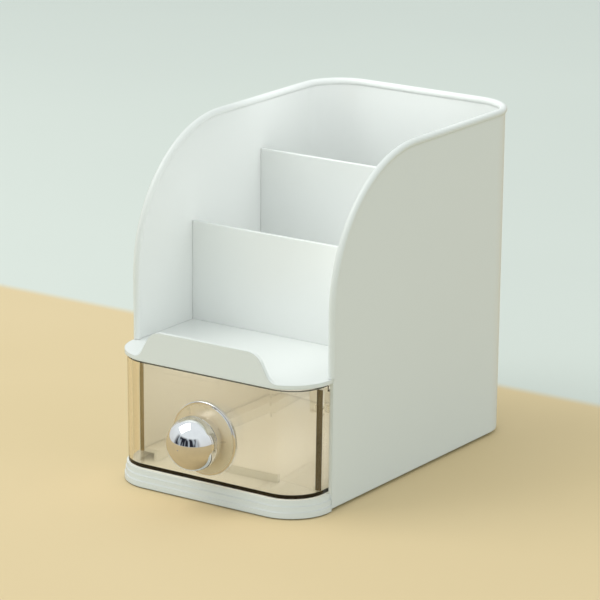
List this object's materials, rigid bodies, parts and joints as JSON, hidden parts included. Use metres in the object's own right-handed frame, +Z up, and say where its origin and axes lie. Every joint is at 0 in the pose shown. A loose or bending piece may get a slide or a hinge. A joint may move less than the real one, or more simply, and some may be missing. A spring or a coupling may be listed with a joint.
{
  "type": "brush holder with drawer",
  "caption": "Upright open-fronted brush holder with stepped dividers over a clear sliding drawer with a ball knob.",
  "frame": {"origin": "centre of the footprint, knob and rim included, on the surface that it stands on", "axes": "+Z up, the drawer opens towards -Y, X across the drawer"},
  "size_m": [0.1158, 0.21, 0.1661],
  "materials": {
    "white_plastic": "satin gloss white moulding",
    "tinted_clear": "clear, champagne tint, polished",
    "chrome": "mirror plated",
    "champagne": "champagne enamel",
    "steel": "plain zinc-plated",
    "rubber": "soft translucent grey"
  },
  "bodies": {
    "housing": {"outer_shell": "white_plastic", "deck_tray": "white_plastic", "front_divider": "white_plastic", "rear_divider": "white_plastic", "base_plate": "white_plastic", "base_screws": "steel", "rubber_feet": "rubber"},
    "drawer": {"drawer_box": "tinted_clear", "knob_ball": "chrome", "knob_rosette": "chrome", "knob_inlay": "champagne", "knob_washer": "rubber", "knob_screw": "steel"}
  },
  "joints": [
    {"name": "drawer_slide", "type": "slide", "parent": "housing", "child": "drawer", "axis": [0, -1, 0], "range_m": [0, 0.0973]}
  ]
}
